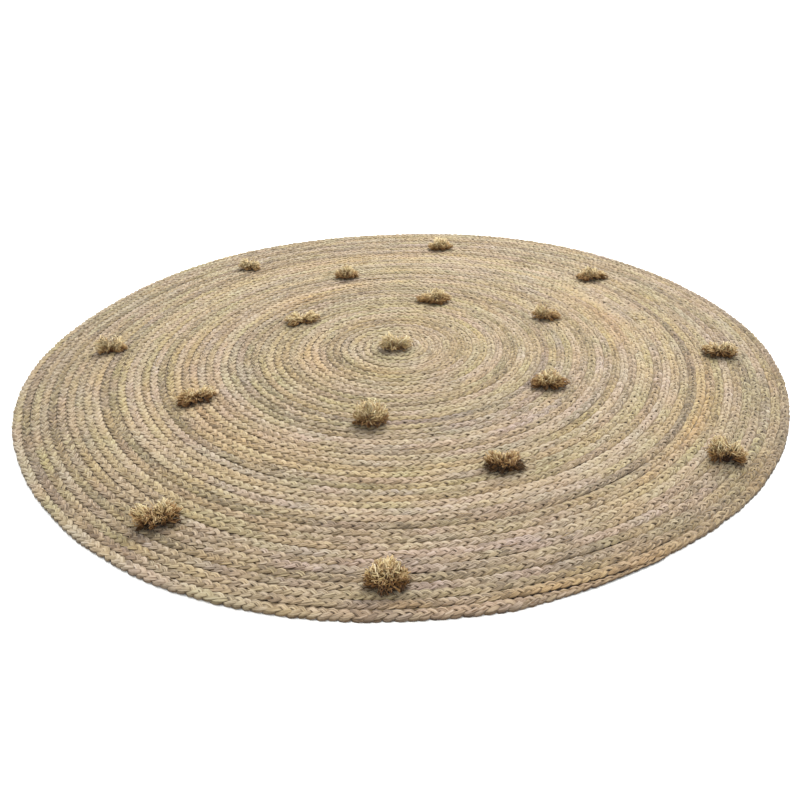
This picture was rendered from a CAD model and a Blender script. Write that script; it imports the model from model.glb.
# A round rug: one plait of jute strands, coiled flat and sewn turn to turn, with pompoms of browner
# jute tied on top. Metres, +Z up. Bearings go from +X towards +Y.
import math

import bpy
import numpy as np
from mathutils import Matrix, Vector


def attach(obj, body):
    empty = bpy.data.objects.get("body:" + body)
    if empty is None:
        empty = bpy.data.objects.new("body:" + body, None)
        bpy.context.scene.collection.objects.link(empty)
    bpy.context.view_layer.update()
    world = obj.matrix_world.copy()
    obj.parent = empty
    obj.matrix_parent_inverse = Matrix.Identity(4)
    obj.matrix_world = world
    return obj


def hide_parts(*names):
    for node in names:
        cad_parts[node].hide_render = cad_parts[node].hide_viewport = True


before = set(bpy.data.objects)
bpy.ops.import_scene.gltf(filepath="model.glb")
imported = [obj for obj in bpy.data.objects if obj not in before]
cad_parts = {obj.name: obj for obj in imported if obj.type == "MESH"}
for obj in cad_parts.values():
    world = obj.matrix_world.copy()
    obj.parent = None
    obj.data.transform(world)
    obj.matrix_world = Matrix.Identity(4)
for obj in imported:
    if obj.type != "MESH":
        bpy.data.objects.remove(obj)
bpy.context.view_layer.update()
mm = 0.001
tau = 2 * math.pi
threeSides = (90, 210, 330)  # the corners of a three-sided tube, in degrees from its level side
mapGap = 0.1  # metres on the map from one tube's start to the next one's
print("frame loaded")


def linear(hexColour):
    # sRGB to linear light: a straight line up to 0.04045 and a power of 2.4 above it
    parts = [int(hexColour[i:i + 2], 16) / 255 for i in (1, 3, 5)]
    return [p / 12.92 if p <= 0.04045 else ((p + 0.055) / 1.055) ** 2.4 for p in parts] + [1.0]


def addNode(tree, kind, inputs=None, stops=(), **settings):
    # One node with its settings. An input takes a value, or the output socket of another node.
    # Stops are a ramp's, each a place from 0 to 1 and a hex colour.
    node = tree.nodes.new(kind)
    for name, value in settings.items():
        setattr(node, name, value)
    for socket, value in (inputs or {}).items():
        if isinstance(value, bpy.types.NodeSocket):
            tree.links.new(value, node.inputs[socket])
        else:
            node.inputs[socket].default_value = value
    for number, (place, colour) in enumerate(stops):
        if number > 1:
            node.color_ramp.elements.new(place)
        node.color_ramp.elements[number].position = place
        node.color_ramp.elements[number].color = linear(colour)
    return node


def grain(tree, strand, size, detail):
    # Noise on a strand's map, stretched along it: the size is its length and its width in metres
    scale = (1 / size[0], 1 / size[1], 1)
    place = addNode(tree, "ShaderNodeMapping", {"Vector": strand, "Scale": scale}).outputs[0]
    inputs = {"Vector": place, "Scale": 1.0, "Detail": detail}
    return addNode(tree, "ShaderNodeTexNoise", inputs).outputs["Fac"]


def walk(along, step, rng):
    # A smooth random walk: heights from -1 to 1 every `step`, joined by a cosine ease
    heights = rng.uniform(-1, 1, int(along.max() / step) + 3)  # one to spare
    first = np.floor(along / step).astype(int)
    ease = 0.5 - 0.5 * np.cos(math.pi * (along / step - first))
    return heights[first] * (1 - ease) + heights[first + 1] * ease


def tube(lines, widths, depths, degrees, roll=0.0):
    # Ellipses carried along lines (lines x rings x 3): each point is the line's, plus half the
    # width times the cosine of an angle along the line's level normal, plus half the depth times
    # the sine along the normal above that. The roll, in radians, is added to a ring's angles.
    ahead = np.gradient(lines, axis=1)
    ahead /= np.linalg.norm(ahead, axis=-1, keepdims=True)
    level = np.stack([-ahead[..., 1], ahead[..., 0], np.zeros(ahead.shape[:2])], axis=-1)
    level[..., 0] += 1e-6  # an upright line has its level normal along X
    level /= np.linalg.norm(level, axis=-1, keepdims=True)
    above = np.cross(ahead, level)
    angles = np.radians(degrees) + np.asarray(roll)[..., None]
    aside = (np.cos(angles) * (widths / 2)[..., None])[..., None]
    raised = (np.sin(angles) * (depths / 2)[..., None])[..., None]
    return lines[:, :, None] + level[:, :, None] * aside + above[:, :, None] * raised


def tubeFaces(shape, first=0):
    # Four-cornered faces between the rings of each tube, and a cap at both of its ends
    lines, rings, sides = shape
    index = first + np.arange(lines * rings * sides).reshape(shape)
    turned = np.roll(index, -1, axis=2)
    quads = np.stack([index[:, :-1], turned[:, :-1], turned[:, 1:], index[:, 1:]], axis=-1)
    return quads.reshape(-1, 4), np.concatenate([index[:, 0, ::-1], index[:, -1]])


def tubeMap(shape, along, around):
    # The map of those faces' corners: metres along the tube, and metres round it from a start
    # that is further on for each tube
    lines, rings, sides = shape
    u = np.broadcast_to(along[..., None], shape)
    v = mapGap * np.arange(lines)[:, None, None] + around[..., None] * np.arange(sides) / sides
    u0, u1, v0 = u[:, :-1], u[:, 1:], v[:, :-1]
    v1 = v0 + around[:, :-1, None] / sides
    quads = np.stack([u0, v0, u0, v1, u1, v1, u1, v0], axis=-1).reshape(-1, 2)
    caps = np.stack([u[:, (0, -1)], v[:, (0, -1)]], axis=-1).swapaxes(0, 1).reshape(-1, 2)
    return quads, caps


def putMesh(name, points, faces, corners, values, material, node, normals=None):
    # An object at the origin, from its points, from arrays of faces, each of one number of corners,
    # from arrays of those corners' map, and from named values, one for each point. Normals, where
    # they are given, shade it rounder or flatter than it is.
    mesh = bpy.data.meshes.new(name)
    loops = np.concatenate([group.ravel() for group in faces]).astype(np.int32)
    sizes = np.concatenate([np.full(len(group), group.shape[1]) for group in faces])
    starts = np.concatenate([[0], np.cumsum(sizes)[:-1]]).astype(np.int32)
    mesh.vertices.add(len(points))
    mesh.vertices.foreach_set("co", points.astype(np.float32).ravel())
    mesh.loops.add(len(loops))
    mesh.loops.foreach_set("vertex_index", loops)
    mesh.polygons.add(len(sizes))
    mesh.polygons.foreach_set("loop_start", starts)
    mesh.update(calc_edges=True)
    layer = mesh.uv_layers.new(name="strandMap")
    layer.uv.foreach_set("vector", np.concatenate(corners).astype(np.float32).ravel())
    for label, value in values.items():
        attribute = mesh.attributes.new(label, "FLOAT", "POINT")
        attribute.data.foreach_set("value", value.astype(np.float32).ravel())
    mesh.shade_smooth()
    if normals is not None:
        mesh.normals_split_custom_set_from_vertices(normals)
    mesh.materials.append(material)
    piece = bpy.data.objects.new(name, mesh)
    bpy.context.scene.collection.objects.link(piece)
    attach(piece, "root")
    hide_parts(node)
    return piece


coil = {
    "radius": 0.750,
    "turns": 48,
    "stepsInTurn": 300,  # of the spiral's line, for its length
    "tailBearing": -62.0,  # where the plait ends, tapered
    "tailDegrees": 18.0,
    "tailWidth": 0.3,  # of the plait at its very end, as a share of its width
    "tailDepth": 0.4,  # the share of a strand's depth that doesn't taper
    # the outline's waves: how many go round, and their cosine and sine parts in mm
    "waves": (
        (1, 4.0, 0.2), (2, -1.4, -3.3), (3, 0.9, 1.1),
        (4, -1.4, -1.0), (5, -0.9, -1.7), (6, 2.3, 1.2),
    ),
    "lobe": 13.9 * mm,  # along an edge, from one strand's turn to the next
    "ringStep": 4.3 * mm,  # along the plait, from one ring of a strand's points to the next
    "swing": 5.0 * mm,  # of a strand's middle, to each side
    "linger": 0.07,  # the share of a threefold cosine, which keeps a strand longer at the edge
    "middle": 3.9 * mm,  # the height of the plait's middle
    "rise": 1.35 * mm,  # of a strand's middle above and below that, where strands cross
    "lag": 6.0,  # degrees of its rise and dive by which a strand is late
    "roll": 11.0,  # degrees by which a strand's top turns from the plait's middle, crossing over
    "crown": 0.35 * mm,  # by which the plait's edges lie lower than its middle
    "crownTilt": 0.3,  # how far its surface turns aside there, as a slope at the seam
    "strandWidth": 9.8 * mm,
    "strandDepth": 8.0 * mm,
    # a strand's corners, flat on top, in degrees from its level side
    "section": (53, 127, 213, 327),
    "facing": (74, 106, 198, 342),  # the ways that its surface faces at those corners
    "deep": (0, 0, 1, 1),  # which of them lie between the strands
    "fatter": 0.12,  # how much wider a strand is on top, and narrower where it dives
    "floorGap": 0.02 * mm,  # under the rug, which lies flat
    # how the plait varies along its way, and then how each strand does: for each, pairs of a size
    # and of the metres from one height of its random walk to the next
    "strays": {
        "weave": ((1.5, 0.4), (0.45, 0.035)),  # radians of the weave
        "aside": ((0.75, 0.3), (0.6, 0.06)),  # mm
        "lift": ((0.5, 0.5), (0.35, 0.07)),  # mm
        "swing": ((0.10, 0.07),),
        "shade": ((0.3, 1.7), (0.12, 0.09)),
        "hue": ((0.14, 1.1), (0.20, 0.06)),
        "warmth": ((0.08, 0.9), (0.16, 0.05)),
        "strandPlace": ((0.45, 0.03),),  # radians of the weave
        "strandWidth": ((0.18, 0.02), (0.06, 0.3)),
        "strandDepth": ((0.13, 0.04),),
        "strandShade": ((0.25, 0.5), (0.2, 0.03)),
        "strandHue": ((0.10, 0.16), (0.04, 0.04)),
        "strandWarmth": ((0.05, 0.16),),
    },
    "duskyFrom": 0.72,  # the share of the radius from which the turns are of duskier jute
    "duskyFade": 0.15,  # and the share over which they come to be so
    "dusky": 0.26,  # by how much their shade is lower
    # bundles of another tint: radius in mm, bearing, their reach in mm and degrees, and how far
    # they shift the hue, from lilac grey (down) to olive (up), and the warmth, towards orange (up)
    "bundles": (
        (650, -85, 110, 32, -0.25, 0.05), (330, -55, 90, 35, -0.18, 0.0),
        (470, 12, 26, 22, 0.12, 0.45), (610, -35, 14, 16, 0.12, 0.50),
        (430, -145, 45, 38, 0.08, 0.30), (180, -165, 30, 28, 0.10, 0.35),
        (345, 125, 28, 24, 0.10, 0.35), (742, -75, 12, 22, 0.10, 0.28),
        (560, 105, 40, 24, 0.05, 0.25),
    ),
    "rimInside": 0.3,  # from the last turn's middle in to where the bare rim starts, by swing
    "rimPaler": 0.8,  # how much of the dark between strands is left out on the bare rim
    "stretches": 5,
    "ribbonWidth": 10.5 * mm,  # a strand's loose jute, laid out flat before it is plaited
    "seed": 4,
}
plaitWidth = coil["radius"] / (coil["turns"] + 0.5)  # the rim is half a turn past the last one


def tailTaper(turn, least=0.0):
    # The share of its width that the plait has at a turn: 1, and less and less along its tail
    return np.clip((coil["turns"] - turn) * 360 / coil["tailDegrees"], least, 1)


def middleRadius(turn, outwards):
    # The inner seam's radius plus a share of the plait's width there, with the outline's waves
    # faded towards the middle by the square of the radius
    share = (turn + outwards * tailTaper(turn)) * plaitWidth / coil["radius"]
    bearing = math.radians(coil["tailBearing"]) + tau * turn
    wave = sum(c * np.cos(n * bearing) + s * np.sin(n * bearing) for n, c, s in coil["waves"])
    return coil["radius"] * share + mm * wave * share ** 2


turns = np.linspace(0, coil["turns"], coil["stepsInTurn"] * coil["turns"] + 1)
radii = middleRadius(turns, 0.5)
steps = np.hypot(np.diff(radii), tau * np.diff(turns) * (radii[1:] + radii[:-1]) / 2)
lengths = np.concatenate([[0], np.cumsum(steps)])
plaitLength = lengths[-1]


def coilPlace(along, across, up, outwards=0.5):
    # The point at a distance along the spiral, `across` outwards from its line and `up` in height
    turn = np.interp(along, lengths, turns)
    bearing = math.radians(coil["tailBearing"]) + tau * turn
    radius = middleRadius(turn, outwards) + across
    return np.stack([radius * np.cos(bearing), radius * np.sin(bearing), up], axis=-1)


def bundleTint(line):
    # Each bundle shifts the hue and the warmth by a bell curve of the distances in radius and
    # bearing from its middle
    radius = np.hypot(line[..., 0], line[..., 1])
    bearing = np.degrees(np.arctan2(line[..., 1], line[..., 0]))
    hue, warmth = np.zeros(radius.shape), np.zeros(radius.shape)
    for middle, facing, reach, spread, hueShift, warmthShift in coil["bundles"]:
        turned = (bearing - facing + 180) % 360 - 180
        bell = np.exp(-((radius - middle * mm) / (reach * mm)) ** 2 - (turned / spread) ** 2)
        hue += hueShift * bell
        warmth += warmthShift * bell
    return hue, warmth


def stray(start, name, along, rng):
    # A value along the plait, plus each of its random walks times that walk's size
    for size, step in coil["strays"][name]:
        start = start + size * walk(along, step, rng)
    return start


def plaitStrands():
    # A flat plait of three. Each strand swings across as the cosine of its place in the weave, less
    # a little of the cosine of three times that. It rises and dives as the sine of twice its place,
    # a little late, is wider where it is high, and rolls as the sine of its place. It is a third of
    # a weave from the strand before it, and lower by the square of its distance from the middle.
    # Its hue and warmth are places on the material's ramps, and its shade is added to the streaks'
    # tone. All three lie about 0.5.
    rng = np.random.default_rng(coil["seed"])
    weave = 3 * coil["lobe"]
    count = int(plaitLength / coil["ringStep"]) + 1
    along = np.linspace(0, plaitLength, count)
    taper = tailTaper(np.interp(along, lengths, turns), coil["tailWidth"])
    thinner = coil["tailDepth"] + (1 - coil["tailDepth"]) * taper
    phase = stray(tau * along / weave, "weave", along, rng)
    aside = mm * stray(0, "aside", along, rng)
    lift = mm * stray(0, "lift", along, rng)
    swing = coil["swing"] * taper * stray(1, "swing", along, rng)
    # the tints change along the plait, all three strands at a time
    plaitShade = stray(0, "shade", along, rng)
    plaitHue = stray(0, "hue", along, rng)
    plaitWarmth = stray(0, "warmth", along, rng)
    strands = []
    for number in range(3):
        place = stray(phase + tau * number / 3, "strandPlace", along, rng)
        late = 2 * place - math.radians(coil["lag"])
        across = aside + swing * (np.cos(place) - coil["linger"] * np.cos(3 * place))
        up = coil["middle"] + lift + coil["rise"] * np.sin(late) * thinner
        up -= coil["crown"] * (across / coil["swing"]) ** 2
        line = coilPlace(along, across, up)
        roll = math.radians(coil["roll"]) * np.sin(place)
        uneven = stray(1, "strandWidth", along, rng)
        width = coil["strandWidth"] * uneven * taper * (1 + coil["fatter"] * np.sin(late))
        depth = coil["strandDepth"] * stray(1, "strandDepth", along, rng) * thinner
        share = np.hypot(line[:, 0], line[:, 1]) / coil["radius"]
        outer = np.clip((share - coil["duskyFrom"]) / coil["duskyFade"], 0, 1)
        shade = stray(0.5 + plaitShade, "strandShade", along, rng) - coil["dusky"] * outer
        bundleHue, bundleWarmth = bundleTint(line)
        hue = stray(0.5 + plaitHue, "strandHue", along, rng) + bundleHue
        warmth = stray(0.5 + plaitWarmth, "strandWarmth", along, rng) + bundleWarmth
        strands.append((along, line, across, roll, width, depth, shade, hue, warmth))
    return [np.stack(part) for part in zip(*strands)]


def makeStretches(material):
    # Each strand is a tube with four corners, flat on top. The normals at its corners are unit
    # circles round the lines, less the lines, plus a slope that grows with the distance outwards
    # or inwards from the plait's middle.
    along, lines, asides, rolls, widths, depths, shades, hues, warmths = plaitStrands()
    rings = tube(lines, widths, depths, coil["section"], rolls)
    rings[..., 2] = np.maximum(rings[..., 2], coil["floorGap"])
    unit = np.full(widths.shape, 2.0)
    normals = tube(lines, unit, unit, coil["facing"], rolls) - lines[:, :, None]
    outwards = lines[..., :2] / np.hypot(lines[..., 0], lines[..., 1])[..., None]
    slopes = coil["crownTilt"] * asides * 2 / plaitWidth
    normals[..., :2] += slopes[..., None, None] * outwards[:, :, None]
    normals /= np.linalg.norm(normals, axis=-1, keepdims=True)
    # the outer half of the last turn has no turn beside it
    lastTurn = np.interp(along, lengths, turns) > coil["turns"] - 1
    bare = lastTurn * np.clip(asides / coil["swing"] + coil["rimInside"], 0, 1)
    pieces = []
    last = along.shape[1] - 1
    cuts = [round(last * part / coil["stretches"]) for part in range(coil["stretches"] + 1)]
    for number, (start, end) in enumerate(zip(cuts, cuts[1:]), start=1):
        part = slice(start, end + 1)
        points = rings[:, part]
        shape = points.shape[:3]
        around = math.pi * (widths[:, part] + depths[:, part]) / 2
        values = {
            "shade": np.broadcast_to(shades[:, part, None], shape),
            "hue": np.broadcast_to(hues[:, part, None], shape),
            "warmth": np.broadcast_to(warmths[:, part, None], shape),
            "deep": (1 - coil["rimPaler"] * bare[:, part, None]) * coil["deep"],
            "bare": np.broadcast_to(bare[:, part, None], shape),
        }
        piece = putMesh(
            f"plait_stretch_{number}", points.reshape(-1, 3), tubeFaces(shape),
            tubeMap(shape, along[:, part], around), values, material, "plait_coil",
            normals[:, part].reshape(-1, 3),
        )
        # its cut: three ribbons of jute side by side, each as long as the way a strand takes
        pieces.append(piece)
    return pieces


twine = {
    "width": 7.0 * mm,  # soft, and flattened between the turns
    "depth": 4.4 * mm,
    "height": 4.3 * mm,
    "step": 24 * mm,
    "stray": 0.5 * mm,
    "strayStep": 0.02,
    "short": 0.25,  # metres before the plait's end
    # added to the streaks' tone, and then places on the material's ramps
    "shade": 0.35,
    "hue": 0.5,
    "warmth": 0.5,
    "seed": 5,
}


def makeTwine(material):
    # The sewing twine runs along the seam between each turn and the next, with a small random walk
    rng = np.random.default_rng(twine["seed"])
    start = np.interp(1.0, turns, lengths)
    count = int((plaitLength - start) / twine["step"])
    along = np.linspace(start, plaitLength - twine["short"], count)[None]
    aside = twine["stray"] * walk(along, twine["strayStep"], rng)
    line = coilPlace(along, aside, np.full((1, count), twine["height"]), outwards=0.0)
    widths = np.full((1, count), twine["width"])
    rings = tube(line, widths, np.full((1, count), twine["depth"]), threeSides)
    shape = rings.shape[:3]
    values = {label: np.full(shape, twine[label]) for label in ("shade", "hue", "warmth")}
    return putMesh(
        "sewing_twine", rings.reshape(-1, 3), tubeFaces(shape),
        tubeMap(shape, along, math.pi * widths), values, material, "plait_coil",
    )


wisp = {
    "count": 420,
    "rings": 6,
    "inside": 0.5,  # metres from the plait's ends
    "length": (12 * mm, 38 * mm),
    "width": 1.4 * mm,
    "uneven": (0.6, 1.3),
    "tipWidth": 0.3,  # as a share of its width
    "flatness": 0.6,
    "aside": 5.0,  # mm from the plait's middle
    "drift": 3.5,  # mm
    "driftTurn": (0.2, 0.7),  # of a whole cosine, over its length
    "lying": 8.3,  # mm, the height of its ends
    "arch": 1.8,  # mm, the highest
    "archUneven": (0.1, 1),
    # added to the streaks' tone, and then places on the material's ramps
    "shade": (-0.8, 1.0),
    "hue": (0.5, 1.1),
    "warmth": (0.4, 1.4),
    "seed": 6,
}


def makeWisps(material):
    # Fibres that have worked loose lie on the plait: each follows the coil, drifts across it as a
    # cosine from a random start, and arches up as half a sine
    rng = np.random.default_rng(wisp["seed"])
    count = wisp["count"]
    part = np.linspace(0, 1, wisp["rings"])[None]
    bow = np.sin(math.pi * part)
    length = rng.uniform(*wisp["length"], (count, 1))
    along = rng.uniform(wisp["inside"], plaitLength - wisp["inside"], (count, 1)) + part * length
    turned = part * rng.uniform(*wisp["driftTurn"], (count, 1)) + rng.random((count, 1))
    aside = rng.uniform(-1, 1, (count, 1))
    across = mm * (wisp["aside"] * aside + wisp["drift"] * np.cos(tau * turned))
    arch = wisp["arch"] * rng.uniform(*wisp["archUneven"], (count, 1))
    up = mm * (wisp["lying"] + arch * bow)
    uneven = rng.uniform(*wisp["uneven"], (count, 1))
    widths = wisp["width"] * uneven * (wisp["tipWidth"] + (1 - wisp["tipWidth"]) * bow)
    points = tube(coilPlace(along, across, up), widths, wisp["flatness"] * widths, threeSides)
    shape = points.shape[:3]
    values = {
        label: np.broadcast_to(rng.uniform(*wisp[label], (count, 1, 1)), shape)
        for label in ("shade", "hue", "warmth")
    }
    return putMesh(
        "loose_wisps", points.reshape(-1, 3), tubeFaces(shape), tubeMap(shape, along, 3 * widths),
        values, material, "plait_coil",
    )


plaitFinish = {
    "roughness": 0.92,
    "specular": 0.2,
    "sheen": 0.15,
    "sheenRoughness": 0.6,
    # yarns and fibres are 2 mm and 0.1 mm wide, and are drawn coarser so that they show
    "yarnSize": (24 * mm, 3.0 * mm),
    "fibreSize": (9 * mm, 1.2 * mm),
    "yarnTone": 3.4,  # how much each counts in a strand's tone
    "fibreTone": 1.6,
    "toneFrom": 2.0,  # the sums at which the tones' ramp starts and ends
    "toneTo": 4.0,
    "tones": ((0.0, "#857b6c"), (0.35, "#c4baaa"), (0.65, "#ece6db"), (1.0, "#ffffff")),
    # from lilac grey through straw to olive
    "tints": (
        (0.0, "#a69892"), (0.25, "#a69887"), (0.5, "#a6987e"), (0.75, "#a69875"), (1.0, "#aa986a"),
    ),
    "warmths": ((0.0, "#eafff6"), (0.5, "#f7f7f7"), (1.0, "#ffefe4")),
    # slivers of bark about 5 mm long and 1.5 mm wide, each in a cell of this size
    "barkCell": (16 * mm, 5 * mm),
    "barkEdge": (0.26, 0.12),  # the distances from a cell's middle over which its bark starts
    "barkRare": 0.70,  # how bright a cell's random colour has to be for it to have any
    "bark": "#5b4228",
    "creaseTop": 7.6 * mm,  # the heights between which the creases and seams darken
    "creaseBottom": 4.2 * mm,
    "creases": ((0.0, "#ffffff"), (0.4, "#f2eee8"), (0.75, "#bfb19c"), (1.0, "#7c6c57")),
    "rimPaler": 0.85,  # how much of that darkening is left out on the bare rim
    "sides": ((0.03, "#ffffff"), (0.15, "#b8ac98"), (0.42, "#54462f")),
    "yarnRelief": 2.0,  # against the fibres' relief
    "relief": 1.0 * mm,
}


def plaitMaterial():
    # Raw jute, loosely spun and plaited: matt, with streaks along each strand, bundles from straw
    # to lilac grey, olive and tan, slivers of bark, and brown depths between the strands, which
    # the bare side of the rim has less of
    finish = plaitFinish
    material = bpy.data.materials.new("raw_jute_plait")
    material.use_nodes = True
    tree = material.node_tree
    shader = tree.nodes["Principled BSDF"]
    shader.inputs["Roughness"].default_value = finish["roughness"]
    shader.inputs["Specular IOR Level"].default_value = finish["specular"]
    shader.inputs["Sheen Weight"].default_value = finish["sheen"]
    shader.inputs["Sheen Roughness"].default_value = finish["sheenRoughness"]
    strand = addNode(tree, "ShaderNodeUVMap", uv_map="strandMap").outputs["UV"]
    place = addNode(tree, "ShaderNodeTexCoord").outputs["Object"]
    shade, hue, warmth, deep, bare = (
        addNode(tree, "ShaderNodeAttribute", attribute_name=label).outputs["Fac"]
        for label in ("shade", "hue", "warmth", "deep", "bare")
    )
    # the streaks' tone, times the bundle's tint and its warmth
    yarns = grain(tree, strand, finish["yarnSize"], 1.0)
    fibres = grain(tree, strand, finish["fibreSize"], 2.0)
    streaks = shade
    for streak, weight in ((fibres, finish["fibreTone"]), (yarns, finish["yarnTone"])):
        inputs = {0: streak, 1: weight, 2: streaks}
        streaks = addNode(tree, "ShaderNodeMath", inputs, operation="MULTIPLY_ADD").outputs[0]
    inputs = {"Value": streaks, "From Min": finish["toneFrom"], "From Max": finish["toneTo"]}
    tone = addNode(tree, "ShaderNodeMapRange", inputs).outputs[0]
    body, tones, warmths = (
        addNode(tree, "ShaderNodeValToRGB", {"Fac": value}, stops=stops).outputs["Color"]
        for value, stops in (
            (hue, finish["tints"]), (tone, finish["tones"]), (warmth, finish["warmths"]),
        )
    )
    for colours in (tones, warmths):
        inputs = {"Fac": 1.0, "Color1": body, "Color2": colours}
        body = addNode(tree, "ShaderNodeMixRGB", inputs, blend_type="MULTIPLY").outputs["Color"]
    # bark: the middles of the few cells that have a bright colour
    scale = (1 / finish["barkCell"][0], 1 / finish["barkCell"][1], 1)
    barkPlace = addNode(tree, "ShaderNodeMapping", {"Vector": strand, "Scale": scale}).outputs[0]
    cells = addNode(tree, "ShaderNodeTexVoronoi", {"Vector": barkPlace, "Scale": 1.0}).outputs
    outer, inner = finish["barkEdge"]
    inputs = {"Value": cells["Distance"], "From Min": outer, "From Max": inner}
    near = addNode(tree, "ShaderNodeMapRange", inputs).outputs[0]
    inputs = {0: cells["Color"], 1: finish["barkRare"]}
    rare = addNode(tree, "ShaderNodeMath", inputs, operation="GREATER_THAN").outputs[0]
    sliver = addNode(tree, "ShaderNodeMath", {0: near, 1: rare}, operation="MULTIPLY").outputs[0]
    inputs = {"Fac": sliver, "Color1": body, "Color2": linear(finish["bark"])}
    body = addNode(tree, "ShaderNodeMixRGB", inputs).outputs["Color"]
    # the creases and seams darken with their depth below the strands' tops, and the sides of a
    # strand, where another presses against it, show as a thin dark line
    height = addNode(tree, "ShaderNodeSeparateXYZ", {"Vector": place}).outputs["Z"]
    inputs = {
        "Value": height, "From Min": finish["creaseTop"], "From Max": finish["creaseBottom"],
    }
    depth = addNode(tree, "ShaderNodeMapRange", inputs).outputs[0]
    creases, sides = (
        addNode(tree, "ShaderNodeValToRGB", {"Fac": value}, stops=stops).outputs["Color"]
        for value, stops in ((depth, finish["creases"]), (deep, finish["sides"]))
    )
    inputs = {0: bare, 1: -finish["rimPaler"], 2: 1.0}
    shown = addNode(tree, "ShaderNodeMath", inputs, operation="MULTIPLY_ADD").outputs[0]
    for share, colours in ((shown, creases), (1.0, sides)):
        inputs = {"Fac": share, "Color1": body, "Color2": colours}
        body = addNode(tree, "ShaderNodeMixRGB", inputs, blend_type="MULTIPLY").outputs["Color"]
    tree.links.new(body, shader.inputs["Base Color"])
    inputs = {0: yarns, 1: finish["yarnRelief"], 2: fibres}
    relief = addNode(tree, "ShaderNodeMath", inputs, operation="MULTIPLY_ADD").outputs[0]
    inputs = {"Strength": 1.0, "Distance": finish["relief"], "Height": relief}
    bump = addNode(tree, "ShaderNodeBump", inputs)
    tree.links.new(bump.outputs["Normal"], shader.inputs["Normal"])
    return material


rawJute = plaitMaterial()
stretches = makeStretches(rawJute)
makeTwine(rawJute)
makeWisps(rawJute)
print(f"plait: {plaitLength:.2f} m in {len(stretches)} stretches")
print(f"sewing twine, and {wisp['count']} loose wisps")


pompom = {
    # for each, the radius and bearing of its place, how much paler it is than its height makes it,
    # and the tufts it has fallen into, each with its place to the right and away, its width and
    # its height, in mm and degrees
    "places": (
        (14, -110, 0.26, ((-12, 0, 47, 33), (18, 4, 37, 29))),
        (246, 69, 0.04, ((5, 0, 56, 30), (-25, 5, 39, 15), (26, 2, 36, 18))),
        (352, 19, 0.07, ((-13, 2, 41, 31), (10, 0, 47, 18))),
        (340, -34, -0.02, ((0, 0, 49, 34), (-19, 2, 36, 22), (20, -2, 34, 20))),
        (302, -100, 0.04, ((0, 2, 60, 40), (-20, -2, 30, 28), (20, -4, 30, 36))),
        (254, 147, 0.11, ((-17, -3, 48, 23), (19, 5, 44, 21))),
        (422, 107, 0.06, ((0, 0, 47, 32), (-17, 0, 34, 21), (17, -3, 34, 21))),
        (430, -152, -0.06, ((-13, -1, 52, 22), (20, 8, 39, 27))),
        (476, -70, -0.26, ((-17, 3, 39, 27), (17, 2, 41, 28), (0, -2, 42, 23))),
        (622, 128, 0.18, ((-11, 1, 37, 27), (11, -1, 38, 25))),
        (615, 78, 0.08, ((-1, 0, 57, 30), (-19, -2, 37, 17), (19, -2, 37, 16))),
        (592, 35, 0.05, ((-4, 0, 50, 29), (-24, 0, 35, 17), (22, 4, 40, 19))),
        (647, -8, -0.08, ((-15, 3, 40, 26), (14, -3, 41, 28))),
        (682, -41, -0.02, ((-13, 5, 37, 39), (14, -6, 35, 34))),
        (696, -92, -0.12, ((-1, 0, 57, 33), (-17, -3, 30, 34), (17, -4, 30, 37))),
        (663, -123, -0.16, ((-19, -4, 36, 34), (14, 7, 45, 33), (0, -10, 39, 26))),
        (605, 178, 0.20, ((-15, -4, 36, 36), (14, 4, 37, 31))),
    ),
    "base": 9.3 * mm,  # its height over the floor
    "fibres": 0.15,  # for each square mm of a tuft's outline, about
    "fibreWidth": 1.9 * mm,
    "fibreDepth": 1.2 * mm,
    "uneven": (0.6, 1.25),  # how thick one fibre is against another
    "rings": (0.0, 0.38, 0.72, 1.0),  # where they are along a fibre
    "thickness": (0.7, 1.0, 1.1, 0.75),  # at those rings
    "clump": 6,  # fibres that cling together
    "fewestClumps": 6,
    "spread": 0.10,  # of a clump, in its height and in radians round
    "leastLean": 0.3,  # below which a clump spreads no wider round
    "clumpReach": (0.72, 1.10),  # how far its fibres reach, against the tuft's size
    "fibreReach": (0.82, 1.10),  # and each of them, against its clump
    "lowestTip": 0.05,  # as a share of the tuft's height
    "rootPlace": 0.5,  # from the pompom's middle to the tuft's
    "rootSpread": 0.2,  # as a share of the tuft's half width
    "rootUneven": (0.2, 1),
    "rootHeight": 0.1,  # as a share of the tuft's height
    "curl": 0.30,  # how far a fibre strays from its arch, as a share of its length
    "droop": 0.20,  # how high a fibre arches, as a share of its length
    "clear": 0.5 * mm,  # between a fibre's line and the pompom's base
    "tieWidth": 15 * mm,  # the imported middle
    "tieHeight": 0.25,  # as a share of the tallest tuft's
    "tieSides": 14,
    "tieRings": 6,
    "tieTop": 0.98,  # how near to the top of the dome its last ring is
    "tieLumps": 0.12,
    "tieMap": (0.02, 0.08),  # metres up and round it on the map
    "seed": 11,
}


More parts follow.
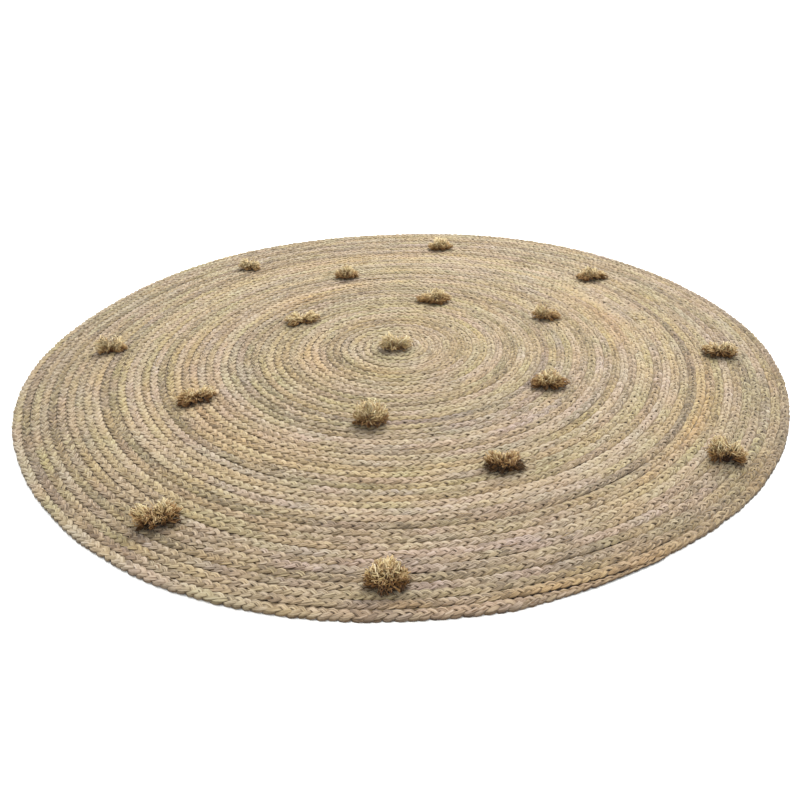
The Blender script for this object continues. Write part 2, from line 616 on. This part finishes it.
def fibreLines(tuft, count, rng):
    # Fibres leave the tie in clumps that point all ways over a dome. Each is a curve of the second
    # degree from the tie to the dome, half an ellipsoid, drawn up and aside by its middle point.
    right, away, width, height = tuft
    half, tall = width * mm / 2, height * mm
    clump = rng.integers(0, max(pompom["fewestClumps"], count // pompom["clump"]), count)
    stand = rng.uniform(0, 1, count)[clump] + pompom["spread"] * rng.normal(0, 1, count)
    stand = np.clip(stand, 0, 1)
    lean = np.sqrt(1 - stand ** 2)
    facing = rng.uniform(0, tau, count)[clump]
    turned = pompom["spread"] * rng.normal(0, 1, count) / np.maximum(lean, pompom["leastLean"])
    facing = facing + turned
    reach = rng.uniform(*pompom["clumpReach"], count)[clump]
    reach = reach * rng.uniform(*pompom["fibreReach"], count)
    outwards = np.stack([np.cos(facing), np.sin(facing), np.zeros(count)], axis=-1)
    up = np.array([0.0, 0.0, 1.0])
    middle = np.array([right, away, 0.0]) * mm
    tipHeight = tall * (pompom["lowestTip"] + (1 - pompom["lowestTip"]) * stand) * reach
    tip = middle + outwards * (half * reach * lean)[:, None] + up * tipHeight[:, None]
    rootAside = pompom["rootSpread"] * half * lean * rng.uniform(*pompom["rootUneven"], count)
    root = pompom["rootPlace"] * middle + outwards * rootAside[:, None]
    root = root + up * pompom["rootHeight"] * tall
    length = np.linalg.norm(tip - root, axis=-1)[:, None]
    bend = (root + tip) / 2 + up * pompom["droop"] * length * lean[:, None]
    bend += pompom["curl"] * length * rng.normal(0, 1, (count, 3))
    part = np.array(pompom["rings"])[None, :, None]
    lines = (1 - part) ** 2 * root[:, None] + 2 * part * (1 - part) * bend[:, None]
    lines = lines + part ** 2 * tip[:, None]
    lines[..., 2] = np.maximum(lines[..., 2], pompom["clear"])
    return lines


def tieDome(height, rng):
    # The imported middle, a dome: its rings are as wide as the cosine of their height's angle, and
    # lumpy
    sides, rings = pompom["tieSides"], pompom["tieRings"]
    angle = np.linspace(0, pompom["tieTop"] * math.pi / 2, rings)[:, None]
    facing = tau * np.arange(sides) / sides
    lumps = 1 + pompom["tieLumps"] * rng.uniform(-1, 1, (rings, sides))
    out = pompom["tieWidth"] / 2 * np.cos(angle) * lumps
    up = np.broadcast_to(pompom["tieHeight"] * height * np.sin(angle), out.shape)
    return np.stack([out * np.cos(facing), out * np.sin(facing), up], axis=-1)[None]


def makePompom(number, row, material):
    # The fibres of each tuft, as three-sided tubes, and the tie. A tuft has fibres by its width
    # times the sum of its half width and its height.
    rng = np.random.default_rng(pompom["seed"] + number)
    radius, bearing, paler, rowTufts = row
    areas = np.array([tuft[2] * (tuft[2] / 2 + tuft[3]) for tuft in rowTufts])
    counts = np.round(areas * pompom["fibres"]).astype(int)
    tufts = [fibreLines(tuft, count, rng) for tuft, count in zip(rowTufts, counts)]
    lines = np.concatenate(tufts)
    tall = max(tuft[3] for tuft in rowTufts) * mm
    thick = rng.uniform(*pompom["uneven"], (len(lines), 1)) * np.array([pompom["thickness"]])
    widths, depths = pompom["fibreWidth"] * thick, pompom["fibreDepth"] * thick
    points = tube(lines, widths, depths, threeSides)
    stepLengths = np.linalg.norm(np.diff(lines, axis=1, prepend=lines[:, :1]), axis=-1)
    along = np.cumsum(stepLengths, axis=1)
    tie = tieDome(tall, rng)
    shape, tieShape = points.shape[:3], tie.shape[:3]
    everyPoint = np.concatenate([points.reshape(-1, 3), tie.reshape(-1, 3)])
    # how near to its tip and which tint, both 0 on the tie, and how high against the whole tuft
    towards = np.broadcast_to((along / along[:, -1:])[..., None], shape)
    tint = np.broadcast_to(rng.uniform(0, 1, (len(lines), 1, 1)), shape)
    tieValues = np.zeros(tie[..., 0].size)
    values = {
        "towardsTip": np.concatenate([towards.ravel(), tieValues]),
        "raised": everyPoint[:, 2] / tall + paler,
        "tint": np.concatenate([tint.ravel(), tieValues]),
    }
    facing = math.radians(bearing)
    place = (radius * mm * math.cos(facing), radius * mm * math.sin(facing), pompom["base"])
    everyPoint += place
    quads, caps = tubeFaces(shape)
    tieQuads, tieCaps = tubeFaces(tieShape, first=points[..., 0].size)
    quadMap, capMap = tubeMap(shape, along, np.full(along.shape, 3 * pompom["fibreWidth"]))
    mapUp, mapRound = pompom["tieMap"]
    tieAlong = np.linspace(0, mapUp, pompom["tieRings"])[None]
    tieQuadMap, tieCapMap = tubeMap(tieShape, tieAlong, np.full(tieAlong.shape, mapRound))
    return putMesh(
        f"jute_pompom_{number:02d}", everyPoint, (quads, tieQuads, caps, tieCaps),
        (quadMap, tieQuadMap, capMap, tieCapMap), values, material,
        f"pompom_{number:02d}",
    )


tuftFinish = {
    "roughness": 0.85,
    "specular": 0.25,
    "sheen": 0.1,
    "fibreSize": (5 * mm, 0.8 * mm),  # fibres are 0.1 mm wide, and are drawn coarser to show
    "tipTone": 0.25,  # how much each counts against the height in the tuft
    "fibreTone": 0.4,
    "toneFrom": 0.38,  # the sums at which the tones' ramp starts and ends
    "toneTo": 1.12,
    "tones": (
        (0.0, "#46300f"), (0.22, "#77572f"), (0.5, "#a98b61"), (0.75, "#c6b28b"), (1.0, "#d6c9a8"),
    ),
    "tints": ((0.0, "#a98f74"), (0.35, "#e6d9c6"), (0.7, "#efe8cf"), (1.0, "#ffffff")),
    "relief": 0.3 * mm,
    "reliefStrength": 0.5,
}


def tuftMaterial():
    # Cut ends of the same jute: each fibre goes from red brown at its root, and low in the tuft, to
    # pale straw at its tip
    finish = tuftFinish
    material = bpy.data.materials.new("cut_jute_tuft")
    material.use_nodes = True
    tree = material.node_tree
    shader = tree.nodes["Principled BSDF"]
    shader.inputs["Roughness"].default_value = finish["roughness"]
    shader.inputs["Specular IOR Level"].default_value = finish["specular"]
    shader.inputs["Sheen Weight"].default_value = finish["sheen"]
    strand = addNode(tree, "ShaderNodeUVMap", uv_map="strandMap").outputs["UV"]
    fibres = grain(tree, strand, finish["fibreSize"], 2.0)
    towards, raised, tint = (
        addNode(tree, "ShaderNodeAttribute", attribute_name=label).outputs["Fac"]
        for label in ("towardsTip", "raised", "tint")
    )
    mixed = raised
    for value, weight in ((towards, finish["tipTone"]), (fibres, finish["fibreTone"])):
        inputs = {0: value, 1: weight, 2: mixed}
        mixed = addNode(tree, "ShaderNodeMath", inputs, operation="MULTIPLY_ADD").outputs[0]
    inputs = {"Value": mixed, "From Min": finish["toneFrom"], "From Max": finish["toneTo"]}
    tone = addNode(tree, "ShaderNodeMapRange", inputs).outputs[0]
    tones, tints = (
        addNode(tree, "ShaderNodeValToRGB", {"Fac": value}, stops=stops).outputs["Color"]
        for value, stops in ((tone, finish["tones"]), (tint, finish["tints"]))
    )
    inputs = {"Fac": 1.0, "Color1": tones, "Color2": tints}
    body = addNode(tree, "ShaderNodeMixRGB", inputs, blend_type="MULTIPLY").outputs["Color"]
    tree.links.new(body, shader.inputs["Base Color"])
    inputs = {
        "Strength": finish["reliefStrength"], "Distance": finish["relief"], "Height": fibres,
    }
    bump = addNode(tree, "ShaderNodeBump", inputs)
    tree.links.new(bump.outputs["Normal"], shader.inputs["Normal"])
    return material


cutJute = tuftMaterial()
for number, row in enumerate(pompom["places"], start=1):
    makePompom(number, row, cutJute)
print(f"pompoms: {len(pompom['places'])}")


studio = {
    "floorSize": 120.0,
    "floorColour": "#f7f7f5",
    "floorRoughness": 0.9,
    "floorSpecular": 0.1,
    "worldStrength": 1.22,
    "sunStrength": 1.8,
    "sunAngle": 50.0,  # degrees across, for soft shadows
    "sunFrom": (0.2, 0.4, 1.4),  # high above, and a little behind the rug
    "lampPower": 118.0,
    "lampSize": 1.6,
    "lampPlace": (0.9, 1.9, 2.1),  # above and behind the rug, to the right
    "lampAim": (0.0, 0.1, 0.0),
    "camera": (0.0, -1.43408, 0.71679),
    "lens": 34.245,  # mm, on a sensor of the width below
    "sensor": 36,
    "farthest": 500,
    "pitch": 30.349,  # degrees down
    "roll": -1.928,
    "yaw": 0.052,
}


def makeFloor():
    # A square of matt white paint, which takes the rug's soft shadow
    half = studio["floorSize"] / 2
    corners = [(-half, -half, 0), (half, -half, 0), (half, half, 0), (-half, half, 0)]
    mesh = bpy.data.meshes.new("studio_floor")
    mesh.from_pydata(corners, [], [(0, 1, 2, 3)])
    floor = bpy.data.objects.new("studio_floor", mesh)
    bpy.context.scene.collection.objects.link(floor)
    material = bpy.data.materials.new("matt_white_floor")
    material.use_nodes = True
    shader = material.node_tree.nodes["Principled BSDF"]
    shader.inputs["Base Color"].default_value = linear(studio["floorColour"])
    shader.inputs["Roughness"].default_value = studio["floorRoughness"]
    shader.inputs["Specular IOR Level"].default_value = studio["floorSpecular"]
    mesh.materials.append(material)


def makeLight(name, kind, energy, origin, aim, **settings):
    # A light at a place, turned to face another place
    light = bpy.data.lights.new(name, kind)
    light.energy = energy
    for label, value in settings.items():
        setattr(light, label, value)
    lamp = bpy.data.objects.new(name, light)
    lamp.location = origin
    lamp.rotation_euler = (Vector(origin) - Vector(aim)).to_track_quat("Z", "Y").to_euler()
    bpy.context.scene.collection.objects.link(lamp)


def makeStudioLight():
    # White light from all round, a wide soft sun and a large round lamp
    world = bpy.data.worlds.new("studio")
    world.use_nodes = True
    background = world.node_tree.nodes["Background"]
    background.inputs["Color"].default_value = (1, 1, 1, 1)
    background.inputs["Strength"].default_value = studio["worldStrength"]
    bpy.context.scene.world = world
    makeLight(
        "soft_sun", "SUN", studio["sunStrength"], studio["sunFrom"], (0, 0, 0),
        angle=math.radians(studio["sunAngle"]),
    )
    makeLight(
        "soft_key", "AREA", studio["lampPower"], studio["lampPlace"], studio["lampAim"],
        shape="DISK", size=studio["lampSize"],
    )


def makeCamera():
    # At the photo's place, turned by its roll, then up from straight down to its pitch, then by
    # its yaw
    data = bpy.data.cameras.new("photo_view")
    data.lens = studio["lens"]
    data.sensor_width = studio["sensor"]
    data.clip_end = studio["farthest"]
    camera = bpy.data.objects.new("photo_view", data)
    turned = (
        Matrix.Rotation(-math.radians(studio["yaw"]), 4, "Z")
        @ Matrix.Rotation(math.radians(90 - studio["pitch"]), 4, "X")
        @ Matrix.Rotation(math.radians(studio["roll"]), 4, "Z")
    )
    camera.matrix_world = Matrix.Translation(studio["camera"]) @ turned
    bpy.context.scene.collection.objects.link(camera)
    bpy.context.scene.camera = camera


makeFloor()
makeStudioLight()
makeCamera()
bpy.context.scene.view_settings.view_transform = "Standard"
print("studio ready")

bpy.context.view_layer.update()
